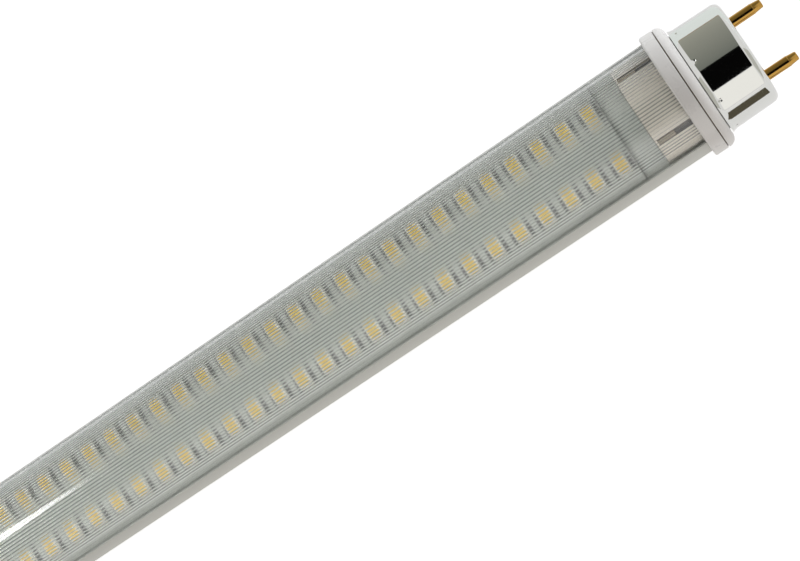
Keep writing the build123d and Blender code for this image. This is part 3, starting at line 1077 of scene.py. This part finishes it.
def build_floor():
    """A white floor that glows to the eye just enough to be white, and keeps the tube's shadow."""
    reach = 3.0
    corners = [(x * reach, y * reach, floor_level) for x, y in ((-1, -1), (1, -1), (1, 1), (-1, 1))]
    material, tree, shader, output = fresh_material("floor_white")
    shader.inputs["Base Color"].default_value = (0.8, 0.8, 0.8, 1.0)
    shader.inputs["Roughness"].default_value = 1.0
    shader.inputs["Specular IOR Level"].default_value = 0.0
    glow = tree.nodes.new("ShaderNodeEmission")
    path = tree.nodes.new("ShaderNodeLightPath")
    feed(tree, glow.inputs["Strength"], level_by_ray(tree, path.outputs["Is Camera Ray"], 0.34, 0.66))
    add = tree.nodes.new("ShaderNodeAddShader")
    tree.links.new(shader.outputs["BSDF"], add.inputs[0])
    tree.links.new(glow.outputs["Emission"], add.inputs[1])
    tree.links.new(add.outputs["Shader"], output.inputs["Surface"])
    stage_sheet("floor", corners, material)


def build_world():
    """White to the eye and in reflections, and a plain soft light on the tube."""
    world = bpy.data.worlds.new("studio")
    bpy.context.scene.world = world
    tree = emptied_tree(world)
    output = tree.nodes.new("ShaderNodeOutputWorld")
    back = tree.nodes.new("ShaderNodeBackground")
    path = tree.nodes.new("ShaderNodeLightPath")
    seen = maths(tree, "ADD", path.outputs["Is Camera Ray"], path.outputs["Is Glossy Ray"])
    feed(tree, back.inputs["Strength"], level_by_ray(tree, seen, 0.56, 1.0))
    tree.links.new(back.outputs["Background"], output.inputs["Surface"])


def build_camera():
    """The camera at the photo's angle, looking down on the lying tube.

    The tube's axes are first worked out as the camera sees them: x right, y down, z away.
    """
    along = Vector((cos(axis_angle), -sin(axis_angle), 0.0))
    below = Vector((sin(axis_angle), cos(axis_angle), 0.0))
    away = Vector((0.0, 0.0, 1.0))
    tube = along * cos(axis_tilt) - away * sin(axis_tilt)
    facing = -along * sin(axis_tilt) - away * cos(axis_tilt)
    up = facing * cos(tube_roll) - below * sin(tube_roll)
    to_tube = Matrix((tube, up.cross(tube), up))
    focal = lens_mm / sensor_mm * photo_width
    seen = (below * (axis_offset_px / focal) + away) * look_distance
    place = Vector((look_x, 0.0, 0.0)) - to_tube @ seen
    right, down, ahead = to_tube.transposed()
    turn = Matrix((right, -down, -ahead)).transposed()
    data = bpy.data.cameras.new("camera")
    data.lens = lens_mm
    data.sensor_width = sensor_mm
    data.sensor_fit = "HORIZONTAL"
    data.clip_start = 0.01
    camera = add_object("camera", data)
    camera.matrix_world = Matrix.Translation(place) @ turn.to_4x4()
    bpy.context.scene.camera = camera


def card_across(start, end, near_end=-0.8, far_end=0.33):
    """The corners of a card that runs along the tube and fills the angles between start and end.

    Angles are in degrees about the tube, from the way the camera looks at it towards the camera's lower side.
    """
    distance = 0.9
    corners = []
    for angle, x in ((start, near_end), (start, far_end), (end, far_end), (end, near_end)):
        turn = radians(angle) + tube_roll
        corners.append(Vector((look_x + x, -sin(turn) * distance, cos(turn) * distance)))
    return corners


def floor_strip(start, end, far_end=0.9):
    """The corners of a card that lies along the tube, just above the floor."""
    near_end = -0.9
    height = floor_level + 0.5 * MM
    corners = ((near_end, start), (far_end, start), (far_end, end), (near_end, end))
    return [(x, y, height) for x, y in corners]


def softbox(name, start, end, energy, colour, along=0.0):
    """A long soft lamp that only lights, between two angles about the tube."""
    soft = bpy.data.lights.new(name, "AREA")
    soft.color = colour
    soft.shape = "RECTANGLE"
    soft.size = 0.9
    soft.size_y = 0.7
    soft.energy = energy
    lamp = add_object(name, soft)
    middle = sum(card_across(start, end, near_end=-0.6, far_end=0.6), Vector()) / 4
    middle.x += along
    lamp.location = middle
    lamp.rotation_euler = (Vector((look_x, 0, 0)) - middle).to_track_quat("-Z", "Y").to_euler()
    lamp.visible_camera = False
    lamp.visible_glossy = False


def build_light():
    """The soft lamps, and the studio's cards that the chrome, the pins and the tube's inside see."""
    cool = (0.93, 0.98, 1.05)
    warm = (1.06, 0.98, 0.92)
    softbox("softbox_below", 31, 78, 1.1, warm)
    softbox("softbox_above", -112, -90, 3.4, cool)
    softbox("softbox_end", -100, -80, 20.0, cool, along=1.5)
    inside_card("shade_card", -125, -45, (0.07, 0.07, 0.07, 1))
    inside_card("glow_card", 35, 100, (1.1, 1.1, 1.1, 1))
    stage_card("white_card", card_across(31, 77), plain_glow("white_card", (0.98, 0.97, 0.94, 1)))
    stage_card("black_card", card_across(-17, 30), plain_glow("black_card", (0.002, 0.002, 0.002, 1)))
    stage_card("grey_card", card_across(-100, -17),
               graded_glow("grey_card", (0.36, 0.36, 0.31, 1), (0.17, 0.18, 0.16, 1)))
    stage_card("brown_line", card_across(-102, -100), plain_glow("brown_line", (0.34, 0.26, 0.18, 1)))
    stage_card("pale_floor", floor_strip(0.03, 0.9), plain_glow("pale_floor", (0.81, 0.86, 0.85, 1)))
    stage_card("brown_strip", floor_strip(-0.147, -0.042, far_end=cap_face + 6 * MM),
               plain_glow("brown_strip", (0.09, 0.08, 0.055, 1)))
    reach = 0.9
    corners = ((-0.02, 0), (-reach, 0), (-reach, reach), (-0.02, reach))
    stage_card("end_card", [(reach, y, z) for y, z in corners], plain_glow("end_card", (0.52, 0.52, 0.48, 1)))
    apex = Vector((-0.0455, 0.0996, 0.451))
    low = (Vector((-0.1083, 0.1672, 0.4192)) - apex) * 1.5
    high = (Vector((-0.1083, 0.0374, 0.4498)) - apex) * 1.5
    streak = stage_card("streak_card", [apex, apex + low, apex + (low + high) / 2, apex + high],
                        plain_glow("streak_card", (13.0, 13.0, 13.0, 1)))
    streak.visible_transmission = True


def build_tube(finish):
    """Every visible piece of the tube."""
    make_piece("cover_clear", cover_mesh(), finish["cover"], ["clear_cover"])
    make_piece("housing_extrusion", housing_mesh(), finish["aluminium"],
               ["heat_sink_housing"])
    make_piece("cap_plugs", plug_mesh(), finish["cap_white"], ["plugs"])
    make_piece("cap_sleeves", sleeve_mesh(), finish["sleeve_white"])
    make_piece("cap_white_rings", ring_mesh(), finish["cap_white"], ["cap_rings"])
    make_piece("cap_chrome_shells", shell_mesh(), finish["chrome"], ["cap_shells"])
    for name, side in (("front", -1), ("back", 1)):
        for piece, single, colour, slot, replaced in (
            ("led_packages", led_package_mesh(), "led", "led_white", [f"{name}_led_row"]),
            ("led_windows", phosphor_mesh(), "phosphor", "phosphor_yellow", [f"{name}_phosphor_row"]),
            ("led_solder", solder_mesh(), "solder", "led_white", []),
        ):
            row = row_mesh(single, side * row_offset, board_top, finish[colour])
            make_piece(f"{piece}_{name}", row, finish[colour], replaced)
        pins = pin_mesh(side)
        make_piece(f"pin_right_{name}", pins, finish["brass"], [f"right_{name}_pin"])
        other = pins.copy()
        other.transform(Matrix.Scale(-1, 4, (1, 0, 0)))
        other.flip_normals()
        make_piece(f"pin_left_{name}", other, finish["brass"], [f"left_{name}_pin"])


bpy.context.scene.view_settings.view_transform = "Standard"
finishes = build_materials()
dress_carried_nodes(finishes)
build_tube(finishes)
build_floor()
build_world()
build_camera()
build_light()
